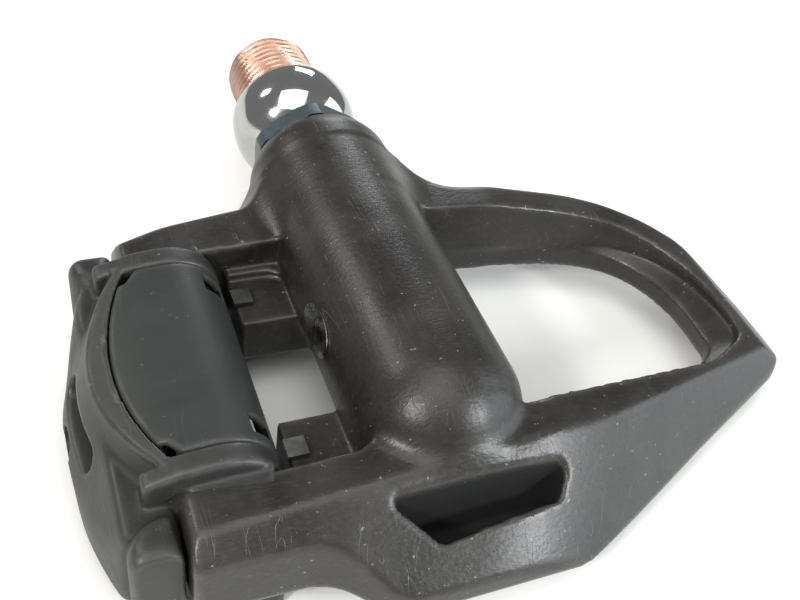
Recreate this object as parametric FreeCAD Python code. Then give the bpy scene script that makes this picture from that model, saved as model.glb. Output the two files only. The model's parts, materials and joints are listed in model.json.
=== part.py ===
import FreeCAD, Part
import math
import os

# Clipless road pedal, left side, lying with its cleat side down.
# Frame: +Z towards the pedal's underside, +X towards the toe, +Y towards the crank.
# Origin: on the spindle axis, in the plane of the shoulder that seats on the crank.

V = FreeCAD.Vector

# --- driving dimensions, mm ---------------------------------------------------
mid_y = -53.2              # middle of the pedal body, one tread width from the crank
platform_z = -9.0          # cleat face of the body
table_z = -14.5            # tips of both hooks, on which the pedal lies
rim_half_width = 34.0      # widest part of the body, either side of mid_y

thread_r = 7.14            # 9/16 inch thread, major radius
thread_length = 12.4
seat_r = 8.8               # shoulder that seats on the crank arm
bulb_r = 9.8               # widest part of the chromed shoulder
shaft_r = 6.0              # spindle under the lock collar
hex_drive_af = 8.0
hex_drive_depth = 9.0

collar_front_y = -11.4
collar_back_y = -14.5
collar_af = 17.0
collar_corner_r = 9.4
collar_bore_r = 7.2
collar_thread_r = 8.7
collar_thread_end_y = -20.5

barrel_r = 11.1
barrel_end_y = -66.0       # centre of the rounded outboard end
bore_r = 8.2
bore_end_y = -65.0

ball_r = 1.19
ball_track_r = 6.2         # radius of the circle of ball centres
ball_count = 15
race_clearance = 0.03
inner_race_r = 5.6
cup_inner_r = 6.8
sleeve_inner_r = 7.5
inboard_balls_y = -25.0
outboard_balls_y = -54.5
roller_r = 0.95
roller_track_r = 6.0
roller_count = 17
roller_length = 11.6
rollers_y = -39.0          # middle of the needle bearing
needle_shaft_r = 5.02

arm_inner = 18.8           # arm's inner side, from mid_y
arm_outer = 27.7           # arm's outer side, from mid_y
arm_end_x = -33.0
crest_z = 4.0              # highest line of the moulded wings
bay_front_x = -8.5
bay_floor_z = -1.0
web_z = -2.0               # floor of the shallow pan in each web
web_inner = 8.6            # inner side of each web, from mid_y
web_rear_x = -18.8

pin_x = -28.5
pin_z = -0.5
pin_r = 1.5
pin_half_length = 25.5
mandrel_r = 3.0
bush_r = 2.4
pin_clearance = 0.05

lid_x = -27.2              # where the lid of claw and cover is highest
lid_top_z = 5.0
lid_rear_r = 30.8          # flat crown behind lid_x
lid_front_r = 7.1          # rounded front ahead of it
lid_ridge_r = 26.2         # ridge of the claw, about claw_centre_x
cover_wall = 0.9
claw_wall = 1.8
cover_bottom_z = -4.0
seam_x = -4.7              # centre of the curved seam between claw and cover
seam_r = 32.0
seam_gap = 0.1
cover_half_length = 15.2
claw_centre_x = -13.3      # centre of the claw's round back, seen from above
claw_gap = 0.4             # between the claw and the ends of the arms

bar_arc_r = 60.0           # plan curve of the claw's back bar
spring_r = 3.75            # middle of the spring wire
spring_wire_r = 0.6
spring_turns = 5
spring_start = 2.2         # from mid_y
spring_pitch = 1.85

bolt_head_x = -43.1        # outer face of the tension bolt's head
bolt_seat_x = -41.8
bolt_z = -9.6
bolt_r = 1.6
bolt_head_r = 2.4
tension_plate_x = -36.9    # back face of the plate that the bolt draws
tension_plate_half = 7.6
window_z = -4.3            # middle of the indicator window in the claw's back
window_half = 6.5
window_radius = 1.9

plate_thickness = 0.6
screw_places = [(13.5, -25.0), (-13.0, -25.5), (15.0, -80.5)]
screw_r = 1.25
screw_depth = 4.4          # into the body
screw_head_r = 2.3


# --- helpers ------------------------------------------------------------------
def box(x0, x1, y0, y1, z0, z1):
    return Part.makeBox(x1 - x0, y1 - y0, z1 - z0, V(x0, y0, z0))


def cylinder_y(x, z, radius, y0, y1):
    return Part.makeCylinder(radius, y1 - y0, V(x, y0, z), V(0, 1, 0))


def cylinder_x(z, y, radius, x0, x1):
    return Part.makeCylinder(radius, x1 - x0, V(x0, y, z), V(1, 0, 0))


def tube_y(x, z, outer, inner, y0, y1):
    return cylinder_y(x, z, outer, y0, y1).cut(cylinder_y(x, z, inner, y0 - 1, y1 + 1))


def turned(profile):
    """Solid of revolution about the spindle axis from (radius, y) points."""
    points = [V(radius, y, 0) for radius, y in profile]
    face = Part.Face(Part.makePolygon(points + points[:1]))
    return face.revolve(V(0, 0, 0), V(0, 1, 0), 360)


def rounded_outline(corners):
    """Closed wire at z = 0 from (x, y, corner radius) corners."""
    edges = []
    starts = []
    ends = []
    for index, (x, y, radius) in enumerate(corners):
        here = V(x, y, 0)
        previous = corners[index - 1]
        following = corners[(index + 1) % len(corners)]
        back = V(previous[0], previous[1], 0) - here
        ahead = V(following[0], following[1], 0) - here
        half_turn = back.getAngle(ahead) / 2
        back.normalize()
        ahead.normalize()
        inward = back + ahead
        inward.normalize()
        start = here + back * (radius / math.tan(half_turn))
        end = here + ahead * (radius / math.tan(half_turn))
        middle = here + inward * (radius / math.sin(half_turn) - radius)
        if radius > 0:
            edges.append(Part.Arc(start, middle, end).toShape())
        starts.append(start)
        ends.append(end)
    for index, end in enumerate(ends):
        start = starts[(index + 1) % len(starts)]
        if end.distanceToPoint(start) > 1e-4:
            edges.append(Part.makeLine(end, start))
    return Part.Wire(Part.__sortEdges__(edges))


def plan_prism(corners, z0, z1):
    face = Part.Face(rounded_outline(corners))
    face.translate(V(0, 0, z0))
    return face.extrude(V(0, 0, z1 - z0))


def side_prism(points, y0, y1):
    """Prism along Y from (x, z) points."""
    wire = Part.makePolygon([V(x, y0, z) for x, z in points + points[:1]])
    return Part.Face(wire).extrude(V(0, y1 - y0, 0))


def above_plane(first, second, third):
    """Large block on the upper side of the plane through three points."""
    normal = (second - first).cross(third - first)
    normal.normalize()
    if normal.z < 0:
        normal = normal * -1
    block = Part.makeBox(300, 300, 60, V(-150, -150, 0))
    block.Placement = FreeCAD.Placement(first, FreeCAD.Rotation(V(0, 0, 1), normal))
    return block


def mirrored(shape):
    """The same shape on the other side of the pedal's middle plane."""
    return shape.mirror(V(0, mid_y, 0), V(0, 1, 0))


def both_sides(shape):
    return shape.fuse(mirrored(shape))


def hex_prism(across_flats, x, z, y0, y1):
    corner = across_flats / math.sqrt(3)
    points = []
    for k in range(6):
        angle = math.radians(60 * k + 30)
        points.append((x + corner * math.cos(angle), z + corner * math.sin(angle)))
    return side_prism(points, y0, y1)


def ring_groove(track_radius, y, radius):
    return Part.makeTorus(track_radius, radius, V(0, y, 0), V(0, 1, 0))


def circle_of_solids(maker, count, radius):
    solids = []
    for k in range(count):
        angle = 2 * math.pi * k / count
        solids.append(maker(radius * math.cos(angle), radius * math.sin(angle)))
    return Part.makeCompound(solids)


# --- spindle and what turns with it -------------------------------------------
def make_spindle():
    race_in_y = inboard_balls_y + 2.4
    race_out_y = inboard_balls_y - 2.4
    profile = [
        (0, thread_length), (thread_r - 0.9, thread_length), (thread_r, thread_length - 0.8),
        (thread_r, 0), (seat_r, 0), (bulb_r - 0.3, -1.2), (bulb_r, -3.4), (bulb_r - 0.1, -5.6),
        (bulb_r - 0.6, -7.6), (bulb_r - 1.6, -9.4), (bulb_r - 3.0, -10.6), (shaft_r, -11.0),
        (shaft_r, race_in_y + 0.6), (inner_race_r, race_in_y), (inner_race_r, race_out_y),
        (needle_shaft_r, race_out_y - 0.6), (needle_shaft_r, rollers_y - roller_length / 2 - 1),
        (4.4, rollers_y - roller_length / 2 - 1.6), (4.4, -51.8), (3.6, -51.8),
        (3.6, -63.2), (3.1, -63.7), (0, -63.7)]
    body = turned(profile)
    socket = hex_prism(hex_drive_af, 0, 0, thread_length - hex_drive_depth, thread_length + 1)
    groove = ring_groove(ball_track_r, inboard_balls_y, ball_r + race_clearance)
    return body.cut(socket).cut(groove)


def make_outboard_cone():
    cone = tube_y(0, 0, inner_race_r, 3.6, -57.6, -51.8)
    return cone.cut(ring_groove(ball_track_r, outboard_balls_y, ball_r + race_clearance))


def make_cone_locknut():
    nut = hex_prism(9.5, 0, 0, -61.4, -57.6)
    return nut.cut(cylinder_y(0, 0, 3.6, -62, -57))


# --- bearings -----------------------------------------------------------------
def make_cup(balls_y):
    cup = tube_y(0, 0, sleeve_inner_r, cup_inner_r, balls_y - 2.4, balls_y + 2.4)
    return cup.cut(ring_groove(ball_track_r, balls_y, ball_r + race_clearance))


def make_balls(balls_y):
    return circle_of_solids(
        lambda x, z: Part.makeSphere(ball_r, V(x, balls_y, z)), ball_count, ball_track_r)


def make_needle_shell():
    half = roller_length / 2 + 0.7
    outer = roller_track_r + roller_r + race_clearance
    shell = tube_y(0, 0, sleeve_inner_r, outer, rollers_y - half, rollers_y + half)
    for y0 in (rollers_y - half, rollers_y + half - 0.5):
        shell = shell.fuse(tube_y(0, 0, outer + 0.1, 5.6, y0, y0 + 0.5))
    return shell


def make_needle_rollers():
    half = roller_length / 2
    return circle_of_solids(
        lambda x, z: cylinder_y(x, z, roller_r, rollers_y - half, rollers_y + half),
        roller_count, roller_track_r)


def make_bearing_sleeve():
    return tube_y(0, 0, bore_r, sleeve_inner_r, -63.0, collar_thread_end_y)


def make_lock_collar():
    head = hex_prism(collar_af, 0, 0, collar_back_y, collar_front_y)
    head = head.common(turned([
        (0, collar_front_y), (collar_corner_r - 0.6, collar_front_y),
        (collar_corner_r, collar_front_y - 0.5), (collar_corner_r, collar_back_y),
        (0, collar_back_y)]))
    thread = cylinder_y(0, 0, collar_thread_r, collar_thread_end_y, collar_back_y)
    bore = cylinder_y(0, 0, collar_bore_r, collar_thread_end_y - 1, collar_front_y + 1)
    return head.fuse(thread).cut(bore)


def make_spindle_seal():
    body = tube_y(0, 0, collar_bore_r, shaft_r + 0.05, collar_back_y, collar_front_y - 0.5)
    lip_groove = tube_y(0, 0, 6.9, 6.3, collar_front_y - 1.5, collar_front_y + 1)
    return body.cut(lip_groove)


# --- moulded body -------------------------------------------------------------
def body_outline():
    """Rim of the body seen from above, outboard side first, as distances from mid_y."""
    corners = [
        (57.8, -12.0, 4.5), (36.0, -22.6, 30.0), (14.5, -rim_half_width, 8.0),
        (-11.0, -rim_half_width - 0.4, 6.0), (-17.5, -arm_outer, 8.0),
        (arm_end_x, -arm_outer, 0.8), (arm_end_x, arm_outer, 0.8),
        (-17.5, arm_outer, 8.0), (-11.0, rim_half_width + 0.4, 6.0),
        (14.5, rim_half_width - 1.0, 8.0), (38.0, 25.2, 20.0), (51.5, 18.2, 9.0),
        (57.8, 6.5, 6.0)]
    return [(x, mid_y + y, radius) for x, y, radius in corners]


def front_opening():
    upper = [
        (3.0, -71.4, 0.5), (42.0, -66.6, 12.0), (50.9, -61.8, 4.5), (50.9, -47.5, 9.0),
        (43.0, -36.6, 12.0), (14.0, -33.4, 3.0), (3.0, -32.0, 0.5)]
    lower = [
        (3.0, -69.4, 0.5), (40.0, -65.8, 10.0), (46.9, -61.0, 4.5), (46.9, -48.0, 9.0),
        (38.5, -36.8, 12.0), (14.0, -34.0, 3.0), (3.0, -33.0, 0.5)]
    return plan_prism(upper, -5.0, 20).fuse(plan_prism(lower, -20, -5.0))


def rear_bay():
    side = arm_inner
    bay = plan_prism([
        (bay_front_x, mid_y - side, 4.5), (bay_front_x, mid_y + side, 4.5),
        (-50, mid_y + side, 0), (-50, mid_y - side, 0)], bay_floor_z, 20)
    window = box(-50, bay_front_x - 0.4, mid_y - web_inner, mid_y + web_inner, -20, 20)
    behind_webs = box(-50, web_rear_x, mid_y - side, mid_y + side, -20, 20)
    return bay.fuse(window).fuse(behind_webs)


def roof():
    """Everything above the sloping facets of the moulding."""
    outboard = above_plane(V(-20, -76, crest_z), V(20, -76, crest_z), V(0, -88, crest_z - 10))
    diagonal = above_plane(V(20, -74.2, 2.8), V(45, -66.5, -1.6), V(35.2, -75.7, -7))
    inboard_front = above_plane(V(12.5, -28.6, crest_z), V(36, -31.6, 1.5), V(24, -22.5, -6))
    inboard_nose = above_plane(V(40, -32.6, 0.6), V(50.8, -42, -2), V(52.5, -33.5, -8))
    nose = above_plane(V(52, -60, -2.6), V(52, -40, -2.6), V(57.6, -53, -7.5))
    front_slope = above_plane(V(22, -60, crest_z), V(22, -40, crest_z), V(52, -53, -2.6))
    arm_top = above_plane(V(-11, -60, 3.2), V(-11, -40, 3.2), V(-33, -53, 2.4))
    sides = [outboard, mirrored(outboard), diagonal, inboard_front, inboard_nose]
    return sides + [nose, front_slope, arm_top]


def front_hook():
    nose = plan_prism([
        (57.2, mid_y - 8.5, 4.0), (57.2, mid_y + 5.5, 4.0), (52.8, mid_y + 11.0, 1.2),
        (51.4, mid_y + 4.0, 8.0), (51.4, mid_y - 6.0, 8.0), (52.8, mid_y - 11.0, 1.2)],
        table_z, platform_z + 1.0)
    pocket = box(40, 54.6, mid_y - 9.5, mid_y + 8.0, table_z + 2.2, platform_z)
    return nose.cut(pocket)


def make_barrel():
    barrel = turned([
        (0, collar_back_y), (9.3, collar_back_y), (10.5, collar_back_y - 0.8),
        (barrel_r, collar_back_y - 2.4), (barrel_r, barrel_end_y), (0, barrel_end_y)])
    dome = Part.makeSphere(barrel_r, V(0, barrel_end_y, 0))
    return barrel.fuse(dome)


def neck_gussets():
    """Flared webs that run from the neck into the inboard arm and the inboard wing."""
    rear = plan_prism([
        (-3.0, -15.5, 0.5), (-8.4, -17.0, 1.0), (-10.6, -24.6, 5.0), (-18.0, -27.0, 0.5),
        (-18.0, -33.0, 0.5), (-3.0, -33.0, 0.5)], platform_z, crest_z - 0.8)
    front = plan_prism([
        (3.0, -15.5, 0.5), (9.0, -17.0, 1.0), (11.0, -26.0, 4.0), (20.0, -29.8, 1.0),
        (13.0, -33.0, 0.5), (3.0, -33.0, 0.5)], platform_z, crest_z - 0.8)
    return rear.fuse(front)


def make_pedal_body():
    deck = plan_prism(body_outline(), platform_z, crest_z)
    for facet in roof():
        deck = deck.cut(facet)
    deck = deck.cut(front_opening()).cut(rear_bay())
    wing_pocket = plan_prism([
        (-10.8, -78.4, 0.6), (12.6, -78.1, 0.9), (10.4, -81.5, 1.2), (-5.2, -83.3, 1.6)],
        platform_z + 0.7, 20)
    deck = deck.cut(wing_pocket)
    pan = plan_prism([
        (-30, mid_y, 0), (bay_front_x - 2, mid_y, 0), (bay_front_x - 2, mid_y + 17.4, 3.5),
        (-30, mid_y + 17.4, 0)], web_z, 0)
    deck = deck.cut(both_sides(pan))
    deck = deck.fuse(neck_gussets())
    body = deck.fuse(make_barrel()).fuse(front_hook())
    body = body.cut(box(-40, 44.5, -100, 0, -30, platform_z))
    body = body.cut(cylinder_y(0, 0, bore_r, bore_end_y, 0))
    body = body.cut(cylinder_y(0, 0, collar_thread_r, collar_thread_end_y, 0))
    pin_hole = cylinder_y(pin_x, pin_z, pin_r, mid_y - pin_half_length, mid_y + pin_half_length)
    body = body.cut(pin_hole)
    for x, y in screw_places:
        body = body.cut(Part.makeCylinder(screw_r, screw_depth, V(x, y, platform_z)))
        body = body.cut(screw_head(x, y))
    return body.removeSplitter()


def arm_end_rounding():
    """Rounds the tops of the two arm ends about the pivot pin."""
    corner = box(-60, pin_x, -100, 0, pin_z, 30)
    return corner.cut(cylinder_y(pin_x, pin_z, pin_x - arm_end_x, -100, 0))


def screw_head(x, y):
    """Countersunk head, flush with the plate's cleat face."""
    return Part.makeCone(screw_head_r, screw_r, screw_head_r - screw_r,
                         V(x, y, platform_z - plate_thickness))


def make_platform_plate():
    plate = plan_prism([
        (-15.5, -23.5, 2), (16.0, -23.0, 2), (17.5, -82.5, 3), (-8.2, -84.5, 3),
        (-8.2, -31.0, 2), (-15.5, -28.0, 2)], platform_z - plate_thickness, platform_z)
    plate = plate.cut(box(11.5, 30, -74.5, -31.5, -20, 0))
    for x, y in screw_places:
        plate = plate.cut(screw_head(x, y))
    return plate


def make_plate_screws():
    screws = []
    for x, y in screw_places:
        shank = Part.makeCylinder(screw_r, screw_depth + plate_thickness,
                                  V(x, y, platform_z - plate_thickness))
        recess = hex_prism(1.5, 0, 0, 0, 1)
        recess.rotate(V(0, 0, 0), V(1, 0, 0), 90)
        recess.translate(V(x, y, platform_z - plate_thickness))
        screws.append(screw_head(x, y).fuse(shank).cut(recess))
    return Part.makeCompound(screws)


def make_flank_foil():
    ring = tube_y(0, 0, barrel_r + 0.12, barrel_r, -60, -40)
    oval = Part.Ellipse(V(0, 0, 0), 4.4, 2.6)
    face = Part.Face(Part.Wire(oval.toShape()))
    prism = face.extrude(V(0, 0, 14))
    prism.rotate(V(0, 0, 0), V(0, 0, 1), 90)
    prism.rotate(V(0, 0, 0), V(0, 1, 0), -80)
    prism.translate(V(0, -51.5, 0))
    return ring.common(prism)


# --- rear binding claw --------------------------------------------------------
def lid_solid(inset, y0, y1):
    """Everything under the lid that claw and cover share, inset from its outside."""
    rear = cylinder_y(lid_x, lid_top_z - lid_rear_r, lid_rear_r - inset, y0, y1)
    rear = rear.common(box(-60, lid_x, y0, y1, -9.0, 30))
    front = cylinder_y(lid_x, lid_top_z - lid_front_r, lid_front_r - inset, y0, y1)
    return rear.fuse(front.common(box(lid_x, 0, y0, y1, -30, 30)))


def upright(x, radius):
    return Part.makeCylinder(radius, 60, V(x, mid_y, -30))


def make_rear_claw():
    """Round-backed claw: a lid, a ring sector with a lip, a back bar and two ears."""
    profile = [
        (22.0, 1.6), (22.0, 3.0), (lid_ridge_r, 2.4), (28.2, -3.0), (30.0, -9.0),
        (29.6, table_z), (18.4, table_z), (18.4, table_z + 2.0), (26.9, table_z + 2.4),
        (27.2, -9.0), (25.6, -3.0), (24.2, 0.8)]
    points = [V(radius, 0, z) for radius, z in profile]
    face = Part.Face(Part.makePolygon(points + points[:1]))
    ring = face.revolve(V(0, 0, 0), V(0, 0, 1), 110)
    ring.rotate(V(0, 0, 0), V(0, 0, 1), 125)
    ring.translate(V(claw_centre_x, mid_y, 0))

    ear_outer = arm_inner - claw_gap
    low_y, high_y = mid_y - ear_outer, mid_y + ear_outer
    between_arms = box(-60, 0, low_y, high_y, -20, 20)
    behind_arms = box(-60, arm_end_x - claw_gap, -100, 0, -20, 20)
    ring = ring.common(behind_arms.fuse(between_arms))

    lid = lid_solid(0, low_y, high_y).cut(lid_solid(claw_wall, low_y, high_y))
    over_ears = box(claw_centre_x - 18, 0, -100, 0, -30, 30)
    lid = lid.common(upright(claw_centre_x, lid_ridge_r).fuse(over_ears))
    lid = lid.common(box(-60, 0, -100, 0, -1.5, 30))
    bar = plan_prism([
        (arm_end_x - claw_gap, mid_y - 22.0, 0.5), (-43.3, mid_y - 22.0, 0.5),
        (-43.3, mid_y + 22.0, 0.5), (arm_end_x - claw_gap, mid_y + 22.0, 0.5)], -12.0, 0)
    bar = bar.common(upright(bar_arc_r - 43.3, bar_arc_r))
    bar = bar.cut(above_plane(V(-39.3, -60, 0), V(-39.3, -40, 0), V(-43.3, -53, -9)))
    bar = bar.cut(upright(claw_centre_x, 26.6).common(between_arms))
    knuckle = plan_prism([
        (arm_end_x - claw_gap, mid_y + 19.4, 0.5), (-39.3, mid_y + 19.4, 3.4),
        (-39.3, mid_y + 24.6, 1.0), (arm_end_x - claw_gap, mid_y + 24.6, 0.5)], -11.5, 1.5)
    ear = lid_solid(0, mid_y + cover_half_length + 0.6, high_y)
    ear = ear.common(box(-36.5, 0, -100, 0, pin_z - 5.2, 30))
    claw = ring.fuse(lid).fuse(bar).fuse(both_sides(knuckle)).fuse(both_sides(ear))

    bush_bore = cylinder_y(pin_x, pin_z, bush_r, -100, 0)
    bolt_bore = cylinder_x(bolt_z, mid_y, bolt_r + 0.1, -46, -38)
    bolt_seat = cylinder_x(bolt_z, mid_y, bolt_head_r + 0.15, -50, bolt_seat_x)
    straight = window_half - window_radius
    window = box(-50, -37, mid_y - straight, mid_y + straight,
                 window_z - window_radius, window_z + window_radius)
    for y in (mid_y - straight, mid_y + straight):
        window = window.fuse(cylinder_x(window_z, y, window_radius, -50, -37))
    room = cover_half_length + seam_gap
    cover_room = box(-60, 0, mid_y - room, mid_y + room, -8, 30)
    cover_room = cover_room.common(upright(seam_x, seam_r + seam_gap))
    spring_room = cylinder_y(pin_x, pin_z, 5.0, mid_y - room - 0.5, mid_y + room + 0.5)
    spring_room = spring_room.common(box(-60, 0, -100, 0, -30, 3.2))
    for hollow in (bush_bore, bolt_bore, bolt_seat, window, cover_room, spring_room):
        claw = claw.cut(hollow)
    return claw.removeSplitter()


def make_spring_cover():
    """Shell over the springs, with its two rear corners cut off."""
    outer = lid_solid(0, mid_y - cover_half_length, mid_y + cover_half_length)
    inner = lid_solid(cover_wall, mid_y - cover_half_length + 1.0,
                      mid_y + cover_half_length - 1.0)
    shell = outer.cut(inner).common(upright(seam_x, seam_r))
    shell = shell.common(box(-60, 0, -100, 0, cover_bottom_z, 30))
    corner = plan_prism([
        (-40, mid_y + 13.2, 0), (-33.0, mid_y + 13.2, 0), (-31.2, mid_y + 20, 0),
        (-40, mid_y + 20, 0)], -30, 30)
    shell = shell.cut(both_sides(corner))
    low_rear = box(-60, -32.2, -100, 0, -30, 2.6)
    pin_room = cylinder_y(pin_x, pin_z, mandrel_r + 0.2, -100, 0)
    return shell.cut(low_rear).cut(pin_room)


def make_pin_bushes():
    ear_outer = mid_y + arm_inner - claw_gap
    ear_inner = mid_y + cover_half_length + 0.6
    bush = tube_y(pin_x, pin_z, bush_r, pin_r + pin_clearance, ear_inner, ear_outer)
    return Part.makeCompound([bush, mirrored(bush)])


def make_pivot_pin():
    return cylinder_y(pin_x, pin_z, pin_r, mid_y - pin_half_length, mid_y + pin_half_length)


def make_spring_mandrel():
    return tube_y(pin_x, pin_z, mandrel_r, pin_r + pin_clearance, mid_y - 14.0, mid_y + 14.0)


def make_torsion_spring():
    """Inboard spring: a coil round the pin with one leg forward and one leg back."""
    height = spring_pitch * spring_turns
    helix = Part.makeHelix(spring_pitch, height, spring_r)
    circle = Part.makeCircle(spring_wire_r, V(spring_r, 0, 0), V(0, 1, 0))
    coil = Part.Wire(helix).makePipeShell([Part.Wire(circle)], True, True)
    leg_forward = Part.makeCylinder(spring_wire_r, 6.0, V(spring_r, 0, height), V(0, 1, 0))
    leg_back = Part.makeCylinder(spring_wire_r, 5.0, V(spring_r, 0, 0), V(0, -1, 0))
    spring = coil.fuse(leg_forward).fuse(leg_back)
    spring.rotate(V(0, 0, 0), V(1, 0, 0), -90)
    spring.rotate(V(0, 0, 0), V(0, 1, 0), 75)
    spring.translate(V(pin_x, mid_y + spring_start + spring_wire_r, pin_z))
    return spring


def make_spring_anchors():
    tab = box(-19.0, -16.4, mid_y + 11.9, mid_y + 14.7, web_z, web_z + 0.8)
    return Part.makeCompound([tab, mirrored(tab)])


def make_tension_bolt():
    head = cylinder_x(bolt_z, mid_y, bolt_head_r, bolt_head_x, bolt_seat_x)
    shank = cylinder_x(bolt_z, mid_y, bolt_r, bolt_seat_x, -34.4)
    socket = hex_prism(2.5, 0, 0, 0, 1.0)
    socket.rotate(V(0, 0, 0), V(0, 0, 1), -90)
    socket.translate(V(bolt_head_x, mid_y, bolt_z))
    return head.fuse(shank).cut(socket)


def make_tension_plate():
    plate = box(tension_plate_x, tension_plate_x + 1.2, mid_y - tension_plate_half,
                mid_y + tension_plate_half, -11.8, window_z + window_radius + 0.6)
    return plate.cut(cylinder_x(bolt_z, mid_y, bolt_r + 0.05, -40, -30))


def main():
    inboard_spring = make_torsion_spring()
    nodes = {
        "spindle": make_spindle(),
        "outboard_cone": make_outboard_cone(),
        "cone_locknut": make_cone_locknut(),
        "inboard_bearing_cup": make_cup(inboard_balls_y),
        "outboard_bearing_cup": make_cup(outboard_balls_y),
        "inboard_balls": make_balls(inboard_balls_y),
        "outboard_balls": make_balls(outboard_balls_y),
        "needle_bearing_shell": make_needle_shell(),
        "needle_rollers": make_needle_rollers(),
        "bearing_sleeve": make_bearing_sleeve(),
        "lock_collar": make_lock_collar(),
        "spindle_seal": make_spindle_seal(),
        "pedal_body": make_pedal_body().cut(arm_end_rounding()),
        "platform_plate": make_platform_plate(),
        "plate_screws": make_plate_screws(),
        "flank_foil": make_flank_foil(),
        "rear_claw": make_rear_claw(),
        "spring_cover": make_spring_cover(),
        "pivot_pin": make_pivot_pin(),
        "pin_bushes": make_pin_bushes(),
        "spring_mandrel": make_spring_mandrel(),
        "torsion_spring_inboard": inboard_spring,
        "torsion_spring_outboard": mirrored(inboard_spring),
        "spring_anchors": make_spring_anchors(),
        "tension_bolt": make_tension_bolt(),
        "tension_plate": make_tension_plate(),
    }
    os.makedirs("parts", exist_ok=True)
    for name, shape in nodes.items():
        shape.exportStep(os.path.join("parts", name + ".step"))
        bounds = shape.BoundBox
        print(name, shape.isValid(), len(shape.Solids), round(shape.Volume, 1),
              [round(v, 1) for v in (bounds.XMin, bounds.XMax, bounds.YMin, bounds.YMax,
                                     bounds.ZMin, bounds.ZMax)])


main()
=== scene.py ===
import json
import math

import bmesh
import bpy
import numpy as np
import openvdb
from mathutils import Matrix, Vector


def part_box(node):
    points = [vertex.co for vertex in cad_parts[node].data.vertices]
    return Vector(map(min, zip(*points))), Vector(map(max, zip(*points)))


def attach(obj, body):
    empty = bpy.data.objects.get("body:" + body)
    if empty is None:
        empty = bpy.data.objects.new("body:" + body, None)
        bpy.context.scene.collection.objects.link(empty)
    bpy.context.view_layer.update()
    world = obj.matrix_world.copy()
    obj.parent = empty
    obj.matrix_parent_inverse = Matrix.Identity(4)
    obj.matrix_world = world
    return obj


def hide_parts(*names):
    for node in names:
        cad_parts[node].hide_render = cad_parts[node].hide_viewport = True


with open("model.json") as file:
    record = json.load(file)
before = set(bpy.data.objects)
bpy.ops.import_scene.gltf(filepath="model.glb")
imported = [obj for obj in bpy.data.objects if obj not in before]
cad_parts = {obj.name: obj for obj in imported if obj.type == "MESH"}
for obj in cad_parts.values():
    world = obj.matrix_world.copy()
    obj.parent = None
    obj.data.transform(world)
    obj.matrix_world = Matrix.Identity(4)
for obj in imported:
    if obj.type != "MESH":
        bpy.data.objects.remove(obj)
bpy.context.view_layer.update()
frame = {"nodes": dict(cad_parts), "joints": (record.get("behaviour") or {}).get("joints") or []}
print("frame loaded")

# everything below is laid out in millimetres and turned to metres as each mesh is made
mm = 0.001
joints = {joint["name"]: joint for joint in frame["joints"]}
pinX, midY, pinZ = [value / mm for value in joints["claw_open"]["pos_m"]]
bodyLow, bodyHigh = [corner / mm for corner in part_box("pedal_body")]
clawLow, clawHigh = [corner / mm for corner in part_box("rear_claw")]
coverLow, coverHigh = [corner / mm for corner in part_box("spring_cover")]
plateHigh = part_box("platform_plate")[1] / mm
spindleLow, spindleHigh = [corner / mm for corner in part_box("spindle")]
barrelRadius = bodyHigh.z
platformZ = plateHigh.z
tableZ = bodyLow.z


# signed distance fields: negative inside, in mm
def grid(low, high, step):
    axes = [np.arange(a, b + step, step, dtype=np.float32) for a, b in zip(low, high)]
    return np.meshgrid(*axes, indexing="ij", sparse=True)


def join(a, b, soft=0.01):
    mix = np.clip(0.5 + 0.5 * (b - a) / soft, 0, 1)
    return b + (a - b) * mix - soft * mix * (1 - mix)


def keep(a, b, soft=0.01):
    return -join(-a, -b, soft)


def cut(a, b, soft=0.01):
    return -join(-a, b, soft)


def ramp(value, start, end):
    t = np.clip((value - start) / (end - start), 0, 1)
    return t * t * (3 - 2 * t)


def slab(value, low, high):
    return np.abs(value - (low + high) / 2) - (high - low) / 2


arcChords = 8


def rounded(corners):
    # closed outline from (x, y, radius) corners, with its arcs as short chords
    points = []
    count = len(corners)
    for i, (x, y, radius) in enumerate(corners):
        here = Vector((x, y))
        if radius <= 0:
            points.append(here)
            continue
        back = Vector(corners[i - 1][:2]) - here
        ahead = Vector(corners[(i + 1) % count][:2]) - here
        half = back.angle(ahead) / 2
        back.normalize()
        ahead.normalize()
        centre = here + (back + ahead).normalized() * radius / math.sin(half)
        start = here + back * radius / math.tan(half) - centre
        turn = math.copysign(math.pi - 2 * half, -back.cross(ahead))
        for k in range(arcChords + 1):
            points.append(centre + Matrix.Rotation(turn * k / arcChords, 2) @ start)
    return points


def outline(x, y, points):
    # signed distance to a closed polygon
    nearest = None
    inside = None
    for i, here in enumerate(points):
        there = points[i - 1]
        edgeX, edgeY = there[0] - here[0], there[1] - here[1]
        toX, toY = x - here[0], y - here[1]
        length = edgeX * edgeX + edgeY * edgeY
        if length < 1e-9:
            continue
        along = np.clip((toX * edgeX + toY * edgeY) / length, 0, 1)
        gap = (toX - edgeX * along) ** 2 + (toY - edgeY * along) ** 2
        nearest = gap if nearest is None else np.minimum(nearest, gap)
        crosses = (here[1] > y) != (there[1] > y)
        span = edgeY if abs(edgeY) > 1e-9 else 1e-9
        left = x < here[0] + edgeX * (y - here[1]) / span
        flip = crosses & left
        inside = flip if inside is None else inside ^ flip
    return np.where(inside, -1, 1) * np.sqrt(nearest)


def above(x, y, z, first, second, third):
    # distance above the plane through three points
    first, second, third = Vector(first), Vector(second), Vector(third)
    normal = (second - first).cross(third - first).normalized()
    if normal.z < 0:
        normal = -normal
    return normal.x * (x - first.x) + normal.y * (y - first.y) + normal.z * (z - first.z)


def rodY(x, y, z, centreX, centreZ, radius, y0, y1):
    return np.maximum(np.hypot(x - centreX, z - centreZ) - radius, slab(y, y0, y1))


def rodX(x, y, z, centreY, centreZ, radius, x0, x1):
    return np.maximum(np.hypot(y - centreY, z - centreZ) - radius, slab(x, x0, x1))


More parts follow.
